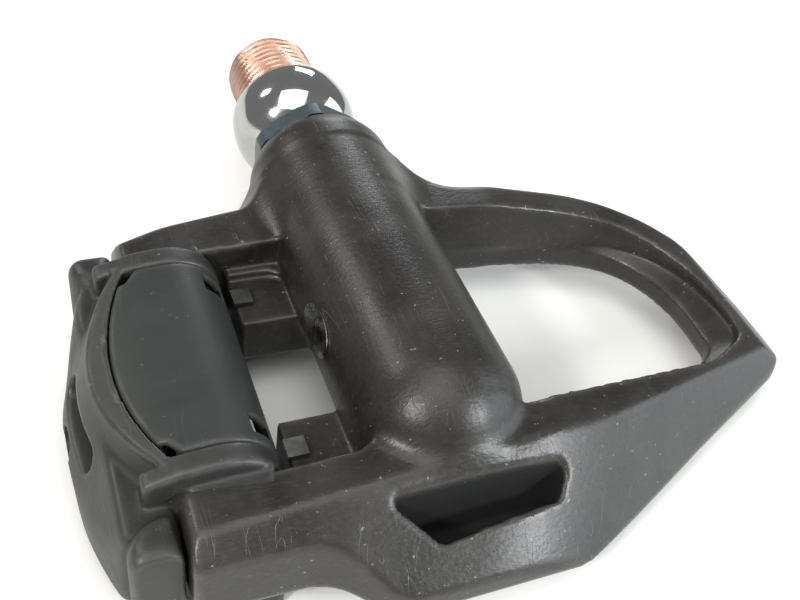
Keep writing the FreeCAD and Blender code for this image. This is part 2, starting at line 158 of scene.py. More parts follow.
def meshField(name, field, low, step):
    # surface of a field, as a smooth-shaded object with a wear value on its convex edges
    # values further from the surface than three steps aren't needed
    level = openvdb.FloatGrid(3 * step)
    level.copyFromArray(np.clip(field, -3 * step, 3 * step).astype(np.float32))
    points, triangles, quads = level.convertToPolygons(isovalue=0.0, adaptivity=0.0)
    points = (points * step + np.array(low)) * mm
    faces = [list(map(int, q)) for q in quads] + [list(map(int, t)) for t in triangles]
    mesh = bpy.data.meshes.new(name)
    mesh.from_pydata(points.tolist(), [], faces)
    mesh.update()
    built = bmesh.new()
    built.from_mesh(mesh)
    bmesh.ops.recalc_face_normals(built, faces=built.faces)
    built.to_mesh(mesh)
    built.free()
    piece = bpy.data.objects.new(name, mesh)
    bpy.context.scene.collection.objects.link(piece)
    mesh.shade_smooth()
    addWear(piece)
    print(name, "meshed:", len(mesh.polygons), "faces")
    return piece


def mould(name, shapeField, low, high, sizes):
    margin, step = sizes["margin"], sizes["step"]
    start = (low.x - margin, low.y - margin, low.z - margin)
    end = high + Vector((margin, margin, margin))
    return meshField(name, shapeField(*grid(start, end, step)), start, step)


def addWear(piece):
    # how far each vertex stands out from its neighbours, 0 to 1
    mesh = piece.data
    count = len(mesh.vertices)
    co = np.empty(count * 3)
    mesh.vertices.foreach_get("co", co)
    co = co.reshape(-1, 3)
    normal = np.array([v.vector[:] for v in mesh.vertex_normals])
    ends = np.empty(len(mesh.edges) * 2, int)
    mesh.edges.foreach_get("vertices", ends)
    ends = ends.reshape(-1, 2)
    span = co[ends[:, 1]] - co[ends[:, 0]]
    length = np.linalg.norm(span, axis=1) + 1e-12
    bend = ((normal[ends[:, 1]] - normal[ends[:, 0]]) * span).sum(1) / (length * length) * mm
    value = np.zeros(count)
    degree = np.zeros(count)
    for side in (0, 1):
        np.add.at(value, ends[:, side], bend)
        np.add.at(degree, ends[:, side], 1)
    value = value / np.maximum(degree, 1)
    for _ in range(2):
        total = np.zeros(count)
        np.add.at(total, ends[:, 0], value[ends[:, 1]])
        np.add.at(total, ends[:, 1], value[ends[:, 0]])
        value = 0.5 * value + 0.5 * total / np.maximum(degree, 1)
    wear = mesh.attributes.new("wear", "FLOAT", "POINT")
    wear.data.foreach_set("value", np.clip((value - 0.08) / 0.45, 0, 1).astype(np.float32))


def meshPoints(name, points, faces, smooth=True):
    mesh = bpy.data.meshes.new(name)
    mesh.from_pydata([tuple(c * mm for c in p) for p in points], [], faces)
    mesh.update()
    if smooth:
        mesh.shade_smooth()
    piece = bpy.data.objects.new(name, mesh)
    bpy.context.scene.collection.objects.link(piece)
    return piece


# materials
def newMaterial(name):
    material = bpy.data.materials.new(name)
    material.use_nodes = True
    tree = material.node_tree
    tree.nodes.clear()
    output = tree.nodes.new("ShaderNodeOutputMaterial")
    shader = tree.nodes.new("ShaderNodeBsdfPrincipled")
    tree.links.new(shader.outputs["BSDF"], output.inputs["Surface"])
    return material, tree, shader


def addNode(tree, kind, links=None, **values):
    node = tree.nodes.new(kind)
    for key, value in values.items():
        if key in node.inputs:
            node.inputs[key].default_value = value
        else:
            setattr(node, key, value)
    for key, source in (links or {}).items():
        tree.links.new(source, node.inputs[key])
    return node


def objectPoints(tree, stretch=(1, 1, 1), turn=(0, 0, 0)):
    coords = tree.nodes.new("ShaderNodeTexCoord")
    mapping = addNode(tree, "ShaderNodeMapping", {"Vector": coords.outputs["Object"]})
    mapping.inputs["Scale"].default_value = stretch
    mapping.inputs["Rotation"].default_value = turn
    return mapping.outputs["Vector"]


def noise(tree, vector, scale, detail=3.0, rough=0.55, distortion=0.0):
    node = addNode(tree, "ShaderNodeTexNoise", {"Vector": vector}, Scale=scale,
                   Detail=detail, Roughness=rough, Distortion=distortion)
    return node.outputs["Fac"]


def spread(tree, source, low, high, toLow=0.0, toHigh=1.0):
    node = addNode(tree, "ShaderNodeMapRange", {"Value": source})
    node.inputs["From Min"].default_value = low
    node.inputs["From Max"].default_value = high
    node.inputs["To Min"].default_value = toLow
    node.inputs["To Max"].default_value = toHigh
    return node.outputs["Result"]


def mixColour(tree, factor, first, second):
    node = tree.nodes.new("ShaderNodeMix")
    node.data_type = "RGBA"
    tree.links.new(factor, node.inputs[0])
    for socket, value in ((node.inputs[6], first), (node.inputs[7], second)):
        if isinstance(value, tuple):
            socket.default_value = value + (1,)
        else:
            tree.links.new(value, socket)
    return node.outputs[2]


def calc(tree, operation, first, second):
    node = tree.nodes.new("ShaderNodeMath")
    node.operation = operation
    for socket, value in zip(node.inputs, (first, second)):
        if isinstance(value, (int, float)):
            socket.default_value = value
        else:
            tree.links.new(value, socket)
    return node.outputs[0]


def scratches(tree, turn, scale, width):
    # fine straight lines in one direction, broken up along their length
    vector = objectPoints(tree, (scale, scale * 0.035, scale * 0.4), turn)
    lines = noise(tree, vector, 1.0, 0.0)
    away = calc(tree, "ABSOLUTE", calc(tree, "SUBTRACT", lines, 0.5), 0)
    return spread(tree, away, 0, width, 1, 0)


def makeResin(name, look):
    material, tree, shader = newMaterial(name)
    points = objectPoints(tree)
    cloud = noise(tree, points, 110, 5, 0.6, 0.4)
    fibre = noise(tree, objectPoints(tree, (1, 3.2, 1), (0, 0, 0.5)), 900, 3, 0.6)
    speck = noise(tree, points, 1500, 1, 0.5)
    base = mixColour(tree, spread(tree, cloud, 0.34, 0.68), look["dark"], look["light"])
    base = mixColour(tree, spread(tree, fibre, 0.52, 0.72, 0, look["fibre"]), base, look["fibreTint"])
    base = mixColour(tree, spread(tree, speck, 0.74, 0.8, 0, look["speck"]), base, look["speckTint"])
    marks = scratches(tree, (0.2, 0.1, 0.7), 700, 0.006)
    more = scratches(tree, (0.1, 0.3, -0.9), 520, 0.005)
    patchy = spread(tree, noise(tree, points, 160, 2), 0.5, 0.66)
    scratched = calc(tree, "MULTIPLY", calc(tree, "MAXIMUM", marks, more), patchy)
    scored = calc(tree, "MULTIPLY", scratched, look["scratch"])
    base = mixColour(tree, scored, base, look["scratchTint"])
    wear = addNode(tree, "ShaderNodeAttribute", attribute_name="wear").outputs["Fac"]
    worn = calc(tree, "MULTIPLY", wear, spread(tree, noise(tree, points, 350, 4), 0.3, 0.7, 0.25, 1))
    base = mixColour(tree, calc(tree, "MULTIPLY", worn, look["wear"]), base, look["wornTint"])
    # painted shade: the pocket mask pulls the base colour nearly black and raises the roughness
    paintedPocketShade = addNode(tree, "ShaderNodeAttribute", attribute_name="paintedPocketShade").outputs["Fac"]
    base = mixColour(tree, paintedPocketShade, base, look["paintedShadeTint"])
    tree.links.new(base, shader.inputs["Base Color"])
    rough = spread(tree, cloud, 0.3, 0.7, look["rough"] - 0.06, look["rough"] + 0.07)
    rough = calc(tree, "SUBTRACT", rough, calc(tree, "MULTIPLY", worn, 0.1))
    rough = calc(tree, "ADD", rough, calc(tree, "MULTIPLY", paintedPocketShade, 0.6))
    tree.links.new(rough, shader.inputs["Roughness"])
    shader.inputs["Specular IOR Level"].default_value = look["specular"]
    height = calc(tree, "ADD", calc(tree, "MULTIPLY", fibre, 0.5), calc(tree, "MULTIPLY", speck, 0.35))
    height = calc(tree, "SUBTRACT", height, calc(tree, "MULTIPLY", scratched, 0.6))
    bump = addNode(tree, "ShaderNodeBump", {"Height": height}, Strength=look["bump"], Distance=0.0003)
    tree.links.new(bump.outputs["Normal"], shader.inputs["Normal"])
    return material


def makeMetal(name, look):
    material, tree, shader = newMaterial(name)
    points = objectPoints(tree, look.get("stretch", (1, 1, 1)))
    cloud = noise(tree, objectPoints(tree), 150, 4)
    grain = noise(tree, points, look.get("grain", 1200), 3)
    base = mixColour(tree, spread(tree, cloud, 0.35, 0.65), look["dark"], look["light"])
    tree.links.new(base, shader.inputs["Base Color"])
    low, high = look["rough"]
    tree.links.new(spread(tree, grain, 0.3, 0.7, low, high), shader.inputs["Roughness"])
    shader.inputs["Metallic"].default_value = look.get("metallic", 1.0)
    bump = addNode(tree, "ShaderNodeBump", {"Height": grain}, Strength=look.get("bump", 0.05),
                   Distance=0.0002)
    tree.links.new(bump.outputs["Normal"], shader.inputs["Normal"])
    return material


def makeSpindleSteel(name, look):
    # chrome on the shoulder, copper-coloured wear on the thread, sorted by place along Y
    material, tree, shader = newMaterial(name)
    coords = tree.nodes.new("ShaderNodeTexCoord")
    split = addNode(tree, "ShaderNodeSeparateXYZ", {"Vector": coords.outputs["Object"]})
    points = objectPoints(tree)
    blotch = noise(tree, points, 260, 5, 0.65)
    edge = calc(tree, "ADD", split.outputs["Y"], spread(tree, blotch, 0.3, 0.7, -0.0006, 0.0006))
    onThread = spread(tree, edge, look["threadStart"], look["threadStart"] + 0.0006)
    flats = addNode(tree, "ShaderNodeAttribute", attribute_name="wear").outputs["Fac"]
    copper = mixColour(tree, spread(tree, blotch, 0.35, 0.62), look["copper"], look["paleCopper"])
    copper = mixColour(tree, calc(tree, "MULTIPLY", flats, 0.45), copper, look["bareSteel"])
    base = mixColour(tree, onThread, look["chrome"], copper)
    tree.links.new(base, shader.inputs["Base Color"])
    shader.inputs["Metallic"].default_value = 1.0
    smudge = spread(tree, noise(tree, points, 420, 4), 0.4, 0.7, 0.04, 0.16)
    rough = calc(tree, "ADD", smudge, calc(tree, "MULTIPLY", onThread, 0.26))
    tree.links.new(rough, shader.inputs["Roughness"])
    grit = noise(tree, points, 2600, 3)
    height = calc(tree, "MULTIPLY", grit, onThread)
    bump = addNode(tree, "ShaderNodeBump", {"Height": height}, Strength=0.25, Distance=0.0002)
    tree.links.new(bump.outputs["Normal"], shader.inputs["Normal"])
    return material


bodyLook = {
    "dark": (0.012, 0.011, 0.010), "light": (0.026, 0.024, 0.021),
    "fibre": 0.35, "fibreTint": (0.045, 0.041, 0.036),
    "speck": 0.5, "speckTint": (0.32, 0.31, 0.28),
    "scratch": 0.2, "scratchTint": (0.22, 0.21, 0.19),
    # near-black colour of the painted shade in the wing pocket
    "wear": 0.35, "wornTint": (0.10, 0.097, 0.09), "paintedShadeTint": (0.004, 0.004, 0.004),
    "rough": 0.36, "specular": 0.40, "bump": 0.24,
}
clawLook = dict(bodyLook, dark=(0.016, 0.016, 0.016), light=(0.026, 0.026, 0.025), fibre=0.15,
                speck=0.35, rough=0.48, bump=0.2)
coverLook = dict(bodyLook, dark=(0.022, 0.025, 0.023), light=(0.028, 0.031, 0.029), fibre=0.05,
                 speck=0.2, scratch=0.08, wear=0.3, rough=0.48, specular=0.3, bump=0.1)
resinBody = makeResin("mouldedResin", bodyLook)
resinClaw = makeResin("clawResin", clawLook)
resinCover = makeResin("coverResin", coverLook)
resinBush = makeResin("bushResin", dict(coverLook, rough=0.5))
chromeSteel = makeSpindleSteel("chromedSteel", {
    "threadStart": 0.0004, "copper": (0.34, 0.13, 0.075), "paleCopper": (0.50, 0.27, 0.18),
    "bareSteel": (0.52, 0.46, 0.41), "chrome": (0.46, 0.46, 0.45)})
anodised = makeMetal("anodisedAlloy", {
    "dark": (0.055, 0.075, 0.085), "light": (0.085, 0.105, 0.115), "rough": (0.3, 0.42),
    "metallic": 0.85, "bump": 0.1})
plateSteel = makeMetal("plateSteel", {
    "dark": (0.46, 0.46, 0.46), "light": (0.62, 0.62, 0.61), "rough": (0.22, 0.42),
    "stretch": (0.15, 2.5, 2.5), "bump": 0.12})
groundSteel = makeMetal("groundSteel", {
    "dark": (0.55, 0.56, 0.58), "light": (0.66, 0.67, 0.68), "rough": (0.12, 0.25)})
blackSteel = makeMetal("blackSteel", {
    "dark": (0.02, 0.02, 0.022), "light": (0.05, 0.05, 0.052), "rough": (0.35, 0.5),
    "metallic": 0.7, "bump": 0.1})
springSteel = makeMetal("springSteel", {
    "dark": (0.10, 0.10, 0.10), "light": (0.22, 0.22, 0.22), "rough": (0.25, 0.4)})
tabSteel = makeMetal("tabSteel", {
    "dark": (0.13, 0.13, 0.12), "light": (0.26, 0.26, 0.24), "rough": (0.28, 0.45)})
indicatorAlloy = makeMetal("indicatorAlloy", {
    "dark": (0.16, 0.17, 0.18), "light": (0.24, 0.25, 0.26), "rough": (0.35, 0.5), "bump": 0.15})
foilSilver = makeMetal("foilSilver", {
    "dark": (0.42, 0.42, 0.41), "light": (0.78, 0.78, 0.76), "rough": (0.15, 0.4),
    "grain": 500, "bump": 0.9})
rubber = makeResin("blackRubber", dict(coverLook, dark=(0.015, 0.015, 0.015),
                                       light=(0.025, 0.025, 0.025), rough=0.6))
print("materials made")


def give(piece, material, body, replaces):
    # gives the piece its finish, hangs it on the body that carries it and hides the CAD node it stands
    # for
    piece.data.materials.clear()
    piece.data.materials.append(material)
    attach(piece, body)
    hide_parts(replaces)


# pedal body: one moulding, joined and carved as a distance field
body = {
    "step": 0.425, "margin": 1.2,                # grid of the distance field
    "crestZ": 4.0,                               # highest line of the wings
    "facetSoft": 0.45, "wingSoft": 3.0,
    "noseX": 57.1,
    "flank": (0.77, 0.64),                       # run and fall of the inboard flank
    "rimHalf": 34.0,                             # widest part of the rim, from midY
    "armInner": 18.8, "armOuter": 27.7,
    "bayFront": -8.5, "bayFloor": -1.0, "panFloor": -2.0, "panHalf": 17.4,
    "webInner": 8.6, "webRear": -18.8,
    "barrelEnd": -66.0, "neckFace": bodyHigh.y, "neckLength": 4.8, "neckDrop": 2.1,
    "partingY": -21.6, "partingDrop": 0.18,      # faint step round the neck
    "bore": 8.2, "collarBore": 8.7, "boreEnd": -65.0, "collarEnd": -20.5,
    "pinBore": 1.5, "pinReach": 25.5,
    "ledgeZ": -5.0, "pocketFloor": -8.3,
    "hookTip": 2.2, "hookRoom": 54.6, "hookBehind": 44.5,
}


def rimOutline():
    corners = [
        (body["noseX"], -12.2, 6.0), (36.0, -22.6, 30.0), (14.5, -body["rimHalf"], 8.0),
        (-11.0, -body["rimHalf"] - 0.4, 6.0), (-17.5, -body["armOuter"], 8.0),
        (bodyLow.x, -body["armOuter"], 0.8), (bodyLow.x, body["armOuter"], 0.8),
        (-17.5, body["armOuter"], 8.0), (-11.0, body["rimHalf"] + 0.4, 6.0),
        (14.5, body["rimHalf"] - 1.0, 8.0), (38.0, 25.4, 20.0), (48.0, 20.5, 14.0),
        (54.5, 13.0, 12.0), (body["noseX"], 4.0, 12.0)]
    return rounded([(x, midY + y, radius) for x, y, radius in corners])


def openingOutlines():
    upper = [
        (3.0, -71.9, 0.5), (42.5, -66.3, 10.0), (50.9, -61.6, 4.5), (50.9, -53.6, 24.0),
        (49.3, -47.8, 22.0), (45.9, -41.9, 16.0), (40.8, -37.8, 15.0), (33.3, -35.7, 36.0),
        (24.5, -34.8, 40.0), (14.0, -33.5, 3.0), (3.0, -32.0, 0.5)]
    lower = [
        (3.0, -69.4, 0.5), (40.0, -65.8, 10.0), (46.7, -61.2, 4.0), (47.0, -52.5, 24.0),
        (45.4, -46.0, 18.0), (42.9, -41.4, 14.0), (38.8, -38.0, 18.0), (33.0, -35.9, 30.0),
        (25.0, -34.4, 30.0), (14.0, -33.6, 3.0), (3.0, -33.0, 0.5)]
    return rounded(upper), rounded(lower)


def barrelField(x, y, z):
    # straight barrel with a domed outboard end and a rounded neck at the collar
    face = np.clip((body["neckFace"] - y) / body["neckLength"], 0, 1)
    radius = barrelRadius - body["neckDrop"] * (1 - face) ** 2
    parting = ramp(y, body["partingY"], body["partingY"] - 0.6) * ramp(y, -40, -30)
    radius = radius - body["partingDrop"] * parting
    past = np.minimum(y - body["barrelEnd"], 0)
    return np.sqrt(x * x + z * z + past * past) - radius


def roofField(x, y, z):
    crest = body["crestZ"]
    facets = [
        ((-20, -76, crest), (20, -76, crest), (0, -88, crest - 10)),
        ((20, -74.2, 2.8), (45, -66.5, -1.6), (35.2, -75.7, -7)),
        ((52, -60, -2.6), (52, -40, -2.6), (57.6, -53, -7.5)),
        ((20, -72, 2.4), (20, -32, 4.4), (50, -62, -2.9)),
        ((-11, -60, 3.2), (-11, -40, 3.2), (-33, -53, 2.4))]
    wing = keep(above(x, y, z, *facets[0]), above(x, y, z, *facets[1]), body["wingSoft"])
    top = keep(z - crest, wing, body["facetSoft"])
    for facet in facets[2:]:
        top = keep(top, above(x, y, z, *facet), body["facetSoft"])
    # steep flank beyond the crest line on the inboard side
    run, fall = body["flank"]
    line = outline(x, y, rounded([
        (70, -100, 0), (70, -62, 0), (57.4, -54.2, 8.0), (54.9, -48.6, 20.0),
        (51.4, -42.0, 20.0), (47.4, -37.2, 16.0), (42.0, -33.6, 18.0), (36.0, -31.5, 30.0),
        (25.3, -30.3, 50.0), (16.0, -29.0, 8.0), (11.2, -23.5, 8.0), (9.6, -15.0, 0),
        (-8.0, -15.0, 0), (-9.8, -23.4, 8.0), (-13.5, -26.6, 5.0), (-26.0, -27.9, 20.0),
        (-40, -32.5, 0), (-40, -100, 0)]))
    return keep(top, line * run + top * fall, 0.6)


def pocketField(x, y):
    # pocket in the outboard wing
    return outline(x, y, rounded([
        (-10.8, -78.4, 0.6), (12.6, -78.1, 0.9), (10.4, -81.5, 1.2), (-5.2, -83.3, 1.6)]))


def addPaintedPocketShade(piece):
    # 1 where painted shade darkens the deep wing pocket, 0 elsewhere
    places = np.empty(len(piece.data.vertices) * 3)
    piece.data.vertices.foreach_get("co", places)
    x, y, z = places.reshape(-1, 3).T / mm
    inside = ramp(pocketField(x, y), 0.6, 0.1) * ramp(-roofField(x, y, z), 0.2, 1.0)
    paintedPocketShade = piece.data.attributes.new("paintedPocketShade", "FLOAT", "POINT")
    paintedPocketShade.data.foreach_set("value", inside.astype(np.float32))


def bodyField(x, y, z):
    rim = outline(x, y, rimOutline())
    deck = keep(keep(rim, roofField(x, y, z), 0.6), platformZ - z, 0.5)
    barrel = barrelField(x, y, z)
    # blend between barrel and wings: least by the lock collar, widest at the neck
    soft = 0.3 + 4.0 * ramp(y, -16.5, -24) - 2.3 * ramp(y, -28, -36)
    shape = join(deck, barrel, soft)

    # front opening, whose lower wall steps in to a ledge
    upper, lower = openingOutlines()
    step = ramp(z, body["ledgeZ"] - 0.9, body["ledgeZ"] + 0.7)
    hole = outline(x, y, lower) * (1 - step) + outline(x, y, upper) * step
    shape = cut(shape, keep(hole, -barrel, 0.6), 0.45)

    # rear bay between the arms, with a web left on each side of the window
    side = np.abs(y - midY)
    bay = outline(x, y, rounded([
        (body["bayFront"], midY - body["armInner"], 4.5),
        (body["bayFront"], midY + body["armInner"], 4.5),
        (-60, midY + body["armInner"], 0), (-60, midY - body["armInner"], 0)]))
    pan = outline(x, y, rounded([
        (body["bayFront"] - 2, midY - body["panHalf"], 3.5),
        (body["bayFront"] - 2, midY + body["panHalf"], 3.5),
        (-30, midY + body["panHalf"], 0), (-30, midY - body["panHalf"], 0)]))
    window = keep(side - body["webInner"], x - body["bayFront"] + 0.4, 0.6)
    behind = keep(side - body["armInner"], x - body["webRear"], 0.4)
    hollows = [np.maximum(bay, body["bayFloor"] - z), np.maximum(pan, body["panFloor"] - z),
               window, behind]
    for hollow in hollows:
        shape = cut(shape, keep(hollow, -barrel, 0.5), 0.35)

    shape = cut(shape, np.maximum(pocketField(x, y), body["pocketFloor"] - z), 0.7)

    # front hook under the nose
    hook = outline(x, y, rounded([
        (57.2, midY - 8.5, 4.0), (57.2, midY + 5.5, 4.0), (52.8, midY + 11.0, 1.2),
        (51.4, midY + 4.0, 8.0), (51.4, midY - 6.0, 8.0), (52.8, midY - 11.0, 1.2)]))
    hook = keep(keep(hook, z - platformZ - 1.0, 0.2), tableZ - z, 0.9)
    slot = np.maximum(slab(x, 40, body["hookRoom"]), slab(y, midY - 9.5, midY + 8.0))
    hook = cut(hook, np.maximum(slot, slab(z, tableZ + body["hookTip"], platformZ)), 0.4)
    shape = np.where(x < body["hookBehind"], np.maximum(shape, platformZ - z), shape)
    shape = join(shape, hook, 0.6)

    # rounded tops of the arm ends, the neck's face, then the bores
    corner = np.maximum(x - pinX, pinZ - z)
    outer = np.hypot(x - pinX, z - pinZ) - (pinX - bodyLow.x)
    shape = keep(shape, np.minimum(outer, -corner), 0.3)
    shape = keep(shape, y - body["neckFace"], 0.4)
    bore = np.maximum(np.hypot(x, z) - body["bore"], body["boreEnd"] - y)
    mouth = np.maximum(np.hypot(x, z) - body["collarBore"], body["collarEnd"] - y)
    pin = rodY(x, y, z, pinX, pinZ, body["pinBore"], midY - body["pinReach"],
               midY + body["pinReach"])
    for hole in (bore, mouth, pin):
        shape = cut(shape, hole)
    return shape


pedalShell = mould("pedalShell", bodyField, bodyLow, bodyHigh, body)
# painted shade for the deep pocket in the wing
addPaintedPocketShade(pedalShell)
give(pedalShell, resinBody, "pedal", "pedal_body")


# rear claw: a lid, a round back turned about an upright line, and a bar behind it
claw = {
    "step": 0.3, "margin": 0.9,
    "centreX": -13.3, "ridgeRadius": 26.2, "hollowRadius": 26.6,
    "gap": 0.4,                                  # running gap to the arms
    "lidX": -27.2, "lidTop": 5.0, "lidRear": 30.8, "lidFront": 7.1, "wall": 1.8,
    "coverHalf": 15.2, "coverWall": 0.9, "coverBottom": -4.0, "cornerHalf": 13.2,
    "seamX": -4.7, "seamRadius": 32.0, "seamGap": 0.16,
    "notch": (10.9, 13.4, -23.0, -20.8),         # from midY, then along x
    "barTopX": -39.3, "barLean": 4.0, "leanSlope": 0.444, "barBottom": -12.0,
    "barHalf": 22.5, "barArc": 50.0, "barShift": 4.0,
    "knuckleInner": 18.4, "knuckleOuter": 25.0, "knuckleShift": 1.2,
    "knuckleTop": 1.2, "knuckleBottom": -11.5,
    "earRear": -36.5, "earDepth": 5.2,
    "springRoom": 5.0, "bushRadius": 2.4, "mandrelRoom": 3.2,
    "boltZ": -9.6, "boltBore": 1.7, "boltSeat": 2.55,
    "slotZ": -4.3, "slotHalf": 5.2, "slotRadius": 1.9,
}


def lidField(x, z):
    # crowned lid that claw and cover share: a flat rear arc meeting a tight front one
    rear = np.hypot(x - claw["lidX"], z - claw["lidTop"] + claw["lidRear"]) - claw["lidRear"]
    front = np.hypot(x - claw["lidX"], z - claw["lidTop"] + claw["lidFront"]) - claw["lidFront"]
    return np.where(x < claw["lidX"], rear, front)


def clawField(x, y, z):
    radius = np.hypot(x - claw["centreX"], y - midY)
    side = np.abs(y - midY)
    earOuter = body["armInner"] - claw["gap"]
    armGap = bodyLow.x - claw["gap"]
    profile = [
        (20.0, 1.6), (20.0, 3.0), (claw["ridgeRadius"], 2.4), (28.2, -3.0), (30.0, -9.0),
        (29.6, tableZ), (18.4, tableZ), (18.4, tableZ + 2.0), (26.9, tableZ + 2.4),
        (27.2, -9.0), (25.6, -3.0), (24.2, 0.8)]
    ring = keep(outline(radius, z, profile), x + 22, 0.1)
    lid = lidField(x, z)
    shell = keep(lid, radius - claw["ridgeRadius"], 0.5)
    shell = np.where(x > -31.3, lid, shell)
    shell = np.maximum(np.maximum(shell, -lid - claw["wall"]), -1.5 - z)
    shell = keep(shell, side - earOuter, 0.8)
    shape = join(ring, shell, 0.5)

    # back bar: round in plan, its back leaning out downwards
    lean = np.minimum(np.maximum(-z, 0) * claw["leanSlope"], claw["barLean"])
    arcX = clawLow.x + claw["barArc"]
    bar = np.hypot(x - arcX, y - midY + claw["barShift"]) - claw["barArc"]
    bar = keep(bar, claw["barTopX"] - lean - x, 0.9)
    bar = keep(bar, side - claw["barHalf"], 1.5)
    bar = keep(keep(bar, x - armGap, 0.5), z, 1.0)
    bar = keep(bar, claw["barBottom"] - z, 1.0)
    bar = np.maximum(bar, -np.maximum(radius - claw["hollowRadius"], side - earOuter))

    # a knuckle behind each arm
    corners = rounded([
        (armGap + 4, claw["knuckleInner"], 0), (claw["barTopX"], claw["knuckleInner"], 4.6),
        (claw["barTopX"], claw["knuckleOuter"], 2.0), (armGap + 4, claw["knuckleOuter"], 0)])
    reach = np.abs(y - midY + claw["knuckleShift"])
    knuckle = keep(outline(x, reach, corners), x - armGap, 0.8)
    knuckle = keep(knuckle, slab(z, claw["knuckleBottom"], claw["knuckleTop"]), 2.6)
    shape = join(shape, join(bar, knuckle, 0.3), 0.7)

    ear = keep(lid, slab(side, claw["coverHalf"] + 0.6, earOuter), 0.8)
    ear = keep(ear, np.maximum(claw["earRear"] - x, pinZ - claw["earDepth"] - z), 0.6)
    shape = join(shape, ear, 0.5)
    shape = keep(shape, tableZ - z, 0.4)

    # room for the cover, springs, bushes and bolt, and the slot that shows the tension
    room = claw["coverHalf"] + claw["seamGap"]
    seam = np.hypot(x - claw["seamX"], y - midY) - claw["seamRadius"] - claw["seamGap"]
    coverRoom = np.maximum(np.maximum(seam, side - room), -8 - z)
    springRoom = rodY(x, y, z, pinX, pinZ, claw["springRoom"], midY - room - 0.5,
                      midY + room + 0.5)
    springRoom = np.maximum(springRoom, z - 3.2)
    bush = np.hypot(x - pinX, z - pinZ) - claw["bushRadius"]
    boltBore = rodX(x, y, z, midY, claw["boltZ"], claw["boltBore"], -46, -38)
    boltSeat = rodX(x, y, z, midY, claw["boltZ"], claw["boltSeat"], -50, -41.8)
    across = np.maximum(np.abs(y - midY + 1.0) - claw["slotHalf"], 0)
    slot = np.hypot(across, z - claw["slotZ"]) - claw["slotRadius"]
    slot = np.maximum(slot, slab(x, -50, -37))
    for hollow in (coverRoom, springRoom, bush, boltBore, boltSeat):
        shape = cut(shape, hollow, 0.12)
    return cut(shape, slot, 0.5)


clawShell = mould("clawShell", clawField, clawLow, clawHigh, claw)
give(clawShell, resinClaw, "claw", "rear_claw")


def coverField(x, y, z):
    # shell over the springs, with its two rear corners cut off
    side = np.abs(y - midY)
    lid = lidField(x, z)
    seam = np.hypot(x - claw["seamX"], y - midY) - claw["seamRadius"]
    past = side - claw["cornerHalf"]
    corner = np.maximum(-past, (x + 33.0) * 0.787 - past * 0.616)
    edge = cut(np.maximum(seam, side - claw["coverHalf"]), corner, 0.1)
    outer = keep(lid, edge, 0.35)
    inner = np.maximum(lid + claw["coverWall"], side - claw["coverHalf"] + 1.0)
    shape = keep(cut(outer, inner, 0.15), claw["coverBottom"] - z, 0.2)
    # small slot near each front corner
    inner, outerEnd, rear, front = claw["notch"]
    notch = np.maximum(slab(side, inner, outerEnd), slab(x, rear, front))
    shape = cut(shape, np.maximum(notch, -0.5 - z), 0.15)
    lowRear = np.maximum(x + 32.2, z - 2.6)
    pinRoom = np.hypot(x - pinX, z - pinZ) - claw["mandrelRoom"]
    return cut(cut(shape, lowRear, 0.1), pinRoom, 0.1)


coverShell = mould("coverShell", coverField, coverLow, coverHigh, claw)
give(coverShell, resinCover, "claw", "spring_cover")
print("mouldings made")


# spindle: turned profile with a left-hand thread and a hex socket
spindleSizes = {
    "threadLength": spindleHigh.y, "pitch": 1.27, "majorRadius": 7.14, "depth": 0.62,
    "segments": 144, "rowsPerPitch": 9, "hexAcross": 8.0, "hexDepth": 9.0,
}


def makeSpindle(sizes):
    segments = sizes["segments"]
    rows = []      # (y, radius for each angle)
    length, major = sizes["threadLength"], sizes["majorRadius"]
    angles = [2 * math.pi * k / segments for k in range(segments)]

    def threadRow(y):
        radii = []
        for k in range(segments):
            phase = (y / sizes["pitch"] + k / segments) % 1.0
            height = min(1.0, max(0.0, 2.6 * abs(phase - 0.5) - 0.12))
            fade = min(1.0, max(0.0, (length - y) / 0.9)) * min(1.0, max(0.0, (y - 0.3) / 0.8))
            radii.append(major - sizes["depth"] * (1 - height) - 0.55 * (1 - fade) ** 2)
        return radii

    for radius in (3.0, 4.9, 5.8):
        rows.append((length, [radius] * segments))
    count = int(length / sizes["pitch"] * sizes["rowsPerPitch"])
    for i in range(count + 1):
        y = length - (length - 0.25) * i / count
        rows.append((y, threadRow(y)))
    shoulder = [(6.45, 0.0), (8.6, 0.0), (8.85, -0.1), (9.35, -0.75), (9.55, -1.1)]
    bulb = [(9.8 - 3.9 * (abs(t - 0.28) / 0.72) ** 2.6, -1.1 - 9.7 * t)
            for t in [k / 16 for k in range(1, 17)]]
    inner = [
        (6.0, -11.2), (6.0, -22.0), (5.6, -22.6), (5.6, -27.4), (5.02, -28.0), (5.02, -45.8),
        (4.4, -46.4), (4.4, -51.8), (3.6, -51.8), (3.6, -63.2), (3.1, spindleLow.y)]
    for radius, y in shoulder + bulb + inner:
        rows.append((y, [radius] * segments))
    points = [(0, length, 0)]
    for y, radii in rows:
        points += [(r * math.cos(a), y, r * math.sin(a)) for r, a in zip(radii, angles)]
    points.append((0, spindleLow.y, 0))
    last = len(points) - 1
    faces = []
    for k in range(segments):
        n = (k + 1) % segments
        faces.append((0, 1 + k, 1 + n))
        for i in range(len(rows) - 1):
            a, b = 1 + i * segments, 1 + (i + 1) * segments
            faces.append((a + k, b + k, b + n, a + n))
        a = 1 + (len(rows) - 1) * segments
        faces.append((a + k, last, a + n))
    piece = meshPoints("spindleTurned", points, faces)
    clean = bmesh.new()
    clean.from_mesh(piece.data)
    bmesh.ops.recalc_face_normals(clean, faces=clean.faces)
    clean.to_mesh(piece.data)
    clean.free()
    return piece


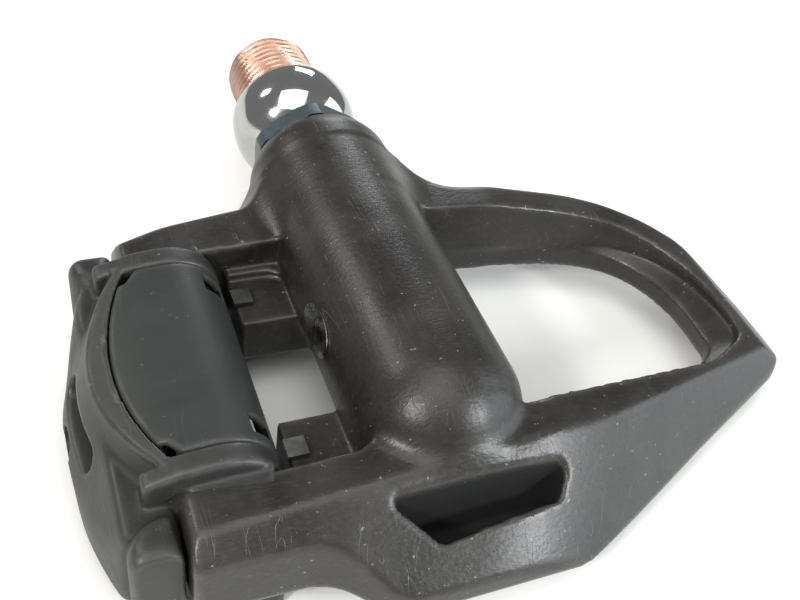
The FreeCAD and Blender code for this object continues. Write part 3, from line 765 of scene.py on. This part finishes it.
def hexPoints(across, y0, y1):
    corner = across / math.sqrt(3)
    ring = [(corner * math.cos(math.pi * (k + 0.5) / 3), corner * math.sin(math.pi * (k + 0.5) / 3))
            for k in range(6)]
    points = [(x, y, z) for y in (y0, y1) for x, z in ring]
    faces = [tuple(range(6)), tuple(range(11, 5, -1))]
    faces += [(k, k + 6, (k + 1) % 6 + 6, (k + 1) % 6) for k in range(6)]
    return points, faces


def applied(piece):
    # evaluated mesh in place of the modifiers
    bpy.context.view_layer.update()
    graph = bpy.context.evaluated_depsgraph_get()
    mesh = bpy.data.meshes.new_from_object(piece.evaluated_get(graph), depsgraph=graph)
    piece.modifiers.clear()
    piece.data = mesh


def carve(piece, tool):
    modifier = piece.modifiers.new("carve", "BOOLEAN")
    modifier.operation = "DIFFERENCE"
    modifier.solver = "EXACT"
    modifier.object = tool
    applied(piece)
    bpy.data.objects.remove(tool)


def sharpen(piece, degrees):
    # flat shading across edges sharper than this
    piece.data.shade_smooth()
    built = bmesh.new()
    built.from_mesh(piece.data)
    for edge in built.edges:
        if len(edge.link_faces) == 2:
            edge.smooth = edge.calc_face_angle() < math.radians(degrees)
    built.to_mesh(piece.data)
    built.free()


spindleTurned = makeSpindle(spindleSizes)
hexTool = meshPoints("hexTool", *hexPoints(
    spindleSizes["hexAcross"], spindleHigh.y - spindleSizes["hexDepth"], spindleHigh.y + 2), False)
carve(spindleTurned, hexTool)
sharpen(spindleTurned, 38)
addWear(spindleTurned)
give(spindleTurned, chromeSteel, "spindle", "spindle")
print("spindle made")


# torsion springs: a spiral swept with round wire, one leg forward and one back
springSizes = {
    "Radius": 0.00375, "Wire": 0.0006, "Turns": 5.0, "Pitch": 0.00185,
    "Forward": 0.006, "Back": 0.005,
}
springPlace = {"fromMiddle": 2.8, "legTurn": 75}    # mm from midY, degrees about the pin


def nodeCurve(tree, first, second):
    line = tree.nodes.new("GeometryNodeCurvePrimitiveLine")
    for socket, source in zip(line.inputs[0:2], (first, second)):
        tree.links.new(source, socket)
    return line.outputs["Curve"]


def nodeVector(tree, x, y, z):
    joiner = tree.nodes.new("ShaderNodeCombineXYZ")
    for socket, source in zip(joiner.inputs, (x, y, z)):
        if isinstance(source, (int, float)):
            socket.default_value = source
        else:
            tree.links.new(source, socket)
    return joiner.outputs[0]


def springTree(material):
    tree = bpy.data.node_groups.new("torsionSpring", "GeometryNodeTree")
    for name in springSizes:
        tree.interface.new_socket(name, in_out="INPUT", socket_type="NodeSocketFloat")
    tree.interface.new_socket("Geometry", in_out="OUTPUT", socket_type="NodeSocketGeometry")
    given = tree.nodes.new("NodeGroupInput").outputs
    height = calc(tree, "MULTIPLY", given["Turns"], given["Pitch"])
    coil = tree.nodes.new("GeometryNodeCurveSpiral")
    coil.inputs["Resolution"].default_value = 40
    for socket, source in (("Rotations", given["Turns"]), ("Start Radius", given["Radius"]),
                           ("End Radius", given["Radius"]), ("Height", height)):
        tree.links.new(source, coil.inputs[socket])
    top = nodeVector(tree, given["Radius"], 0.0, height)
    ahead = nodeVector(tree, given["Radius"], given["Forward"], height)
    foot = nodeVector(tree, given["Radius"], 0.0, 0.0)
    behind = nodeVector(tree, given["Radius"], calc(tree, "MULTIPLY", given["Back"], -1.0), 0.0)
    paths = tree.nodes.new("GeometryNodeJoinGeometry")
    for path in (nodeCurve(tree, top, ahead), nodeCurve(tree, behind, foot),
                 coil.outputs["Curve"]):
        tree.links.new(path, paths.inputs[0])
    circle = tree.nodes.new("GeometryNodeCurvePrimitiveCircle")
    circle.inputs["Resolution"].default_value = 14
    tree.links.new(given["Wire"], circle.inputs["Radius"])
    wire = tree.nodes.new("GeometryNodeCurveToMesh")
    tree.links.new(paths.outputs[0], wire.inputs["Curve"])
    tree.links.new(circle.outputs["Curve"], wire.inputs["Profile Curve"])
    wire.inputs["Fill Caps"].default_value = True
    realised = tree.nodes.new("GeometryNodeRealizeInstances")
    tree.links.new(wire.outputs[0], realised.inputs[0])
    finish = tree.nodes.new("GeometryNodeSetMaterial")
    finish.inputs["Material"].default_value = material
    tree.links.new(realised.outputs[0], finish.inputs["Geometry"])
    tree.links.new(finish.outputs[0], tree.nodes.new("NodeGroupOutput").inputs[0])
    return tree


def makeSpring(name, tree, hand, node):
    # hand is 1 for the inboard spring and -1 for its mirror image
    holder = meshPoints(name, [(0, 0, 0)], [])
    modifier = holder.modifiers.new("coil", "NODES")
    modifier.node_group = tree
    for item in tree.interface.items_tree:
        if item.in_out == "INPUT":
            modifier[item.identifier] = springSizes[item.name]
    applied(holder)
    start = Vector((pinX, midY + hand * springPlace["fromMiddle"], pinZ)) * mm
    upright = Matrix.Rotation(math.radians(-90), 4, "X")
    turn = Matrix.Rotation(math.radians(springPlace["legTurn"]), 4, "Y") @ upright
    mirror = Matrix.Diagonal((1, hand, 1, 1))
    holder.data.transform(Matrix.Translation(start) @ mirror @ turn)
    if hand < 0:
        holder.data.flip_normals()
    for face in holder.data.polygons:
        face.use_smooth = True
    give(holder, springSteel, "claw", node)


coilTree = springTree(springSteel)
makeSpring("springInboard", coilTree, 1, "torsion_spring_inboard")
makeSpring("springOutboard", coilTree, -1, "torsion_spring_outboard")
print("springs made")


# finishes of the parts that keep their CAD shape
finishes = {
    "outboard_cone": groundSteel, "cone_locknut": groundSteel, "inboard_bearing_cup": groundSteel,
    "outboard_bearing_cup": groundSteel, "inboard_balls": groundSteel,
    "outboard_balls": groundSteel, "needle_bearing_shell": groundSteel,
    "needle_rollers": groundSteel, "bearing_sleeve": anodised, "lock_collar": anodised,
    "spindle_seal": rubber, "platform_plate": plateSteel, "plate_screws": blackSteel,
    "flank_foil": foilSilver, "pivot_pin": plateSteel, "pin_bushes": resinBush,
    "spring_mandrel": resinBush, "spring_anchors": tabSteel,
    "tension_bolt": blackSteel, "tension_plate": indicatorAlloy,
}
for node, material in finishes.items():
    part = frame["nodes"][node]
    part.data.materials.clear()
    part.data.materials.append(material)
print("finishes given")


# floor, lights and camera
table = {
    "reach": 900, "gap": 0.05,                   # mm
    "dark": (0.80, 0.80, 0.775), "light": (0.84, 0.84, 0.82), "rough": 0.5,
}


def makeFloor():
    reach, z = table["reach"], tableZ - table["gap"]
    corners = [(-reach, -reach, z), (reach, -reach, z), (reach, reach, z), (-reach, reach, z)]
    floor = meshPoints("floor", corners, [(0, 1, 2, 3)], False)
    material, tree, shader = newMaterial("paleTable")
    cloud = noise(tree, objectPoints(tree), 6, 3)
    base = mixColour(tree, spread(tree, cloud, 0.35, 0.65), table["dark"], table["light"])
    tree.links.new(base, shader.inputs["Base Color"])
    shader.inputs["Roughness"].default_value = table["rough"]
    floor.data.materials.append(material)


lamps = {
    # name: (direction from the middle, size, power, colour)
    "backLeft": ((-0.536, 0.591, 0.603), (0.16, 0.16), 1.3, (1.0, 0.99, 0.96)),
    "backRight": ((0.381, 0.876, 0.336), (0.2, 0.15), 1.2, (0.93, 0.96, 1.0)),
    "frontLeft": ((-0.668, -0.415, 0.618), (0.13, 0.13), 4.0, (1.0, 0.98, 0.95)),
    "frontRight": ((0.58, -0.69, 0.43), (0.13, 0.13), 3.8, (0.96, 0.98, 1.0)),
    "window": ((0.86, -0.45, 0.24), (0.9, 0.6), 4.6, (0.84, 0.93, 1.0)),
    "overhead": ((-0.1, -0.25, 0.95), (0.7, 0.7), 4.4, (1.0, 0.995, 0.97)),
}
studio = {
    "middle": (0.0, -0.05, 0.0), "lampDistance": 0.8,
    "skyColour": (0.97, 0.985, 1.0, 1), "skyStrength": 0.30,
}


def makeLights():
    for name, (direction, size, power, colour) in lamps.items():
        data = bpy.data.lights.new(name, "AREA")
        data.shape = "RECTANGLE"
        data.size, data.size_y = size
        data.energy = power
        data.color = colour
        lamp = bpy.data.objects.new(name, data)
        away = Vector(direction).normalized() * studio["lampDistance"]
        lamp.location = Vector(studio["middle"]) + away
        lamp.rotation_euler = Vector(direction).to_track_quat("Z", "Y").to_euler()
        bpy.context.scene.collection.objects.link(lamp)
    world = bpy.data.worlds.new("studio")
    bpy.context.scene.world = world
    world.use_nodes = True
    sky = world.node_tree.nodes["Background"]
    sky.inputs["Color"].default_value = studio["skyColour"]
    sky.inputs["Strength"].default_value = studio["skyStrength"]


cameraPlace = {
    "location": (-0.04412, -0.13980, 0.09719), "turn": (46.573, -6.665, -20.062),
    "lens": 46.81, "sensor": 36, "shift": 0.0066, "clip": 0.01,
}


def makeCamera():
    data = bpy.data.cameras.new("camera")
    data.lens = cameraPlace["lens"]
    data.sensor_width = cameraPlace["sensor"]
    data.shift_x = cameraPlace["shift"]
    data.clip_start = cameraPlace["clip"]
    camera = bpy.data.objects.new("camera", data)
    camera.location = cameraPlace["location"]
    camera.rotation_euler = [math.radians(angle) for angle in cameraPlace["turn"]]
    bpy.context.scene.collection.objects.link(camera)
    bpy.context.scene.camera = camera
    bpy.context.scene.view_settings.view_transform = "Standard"


makeFloor()
makeLights()
makeCamera()
print("stage set")
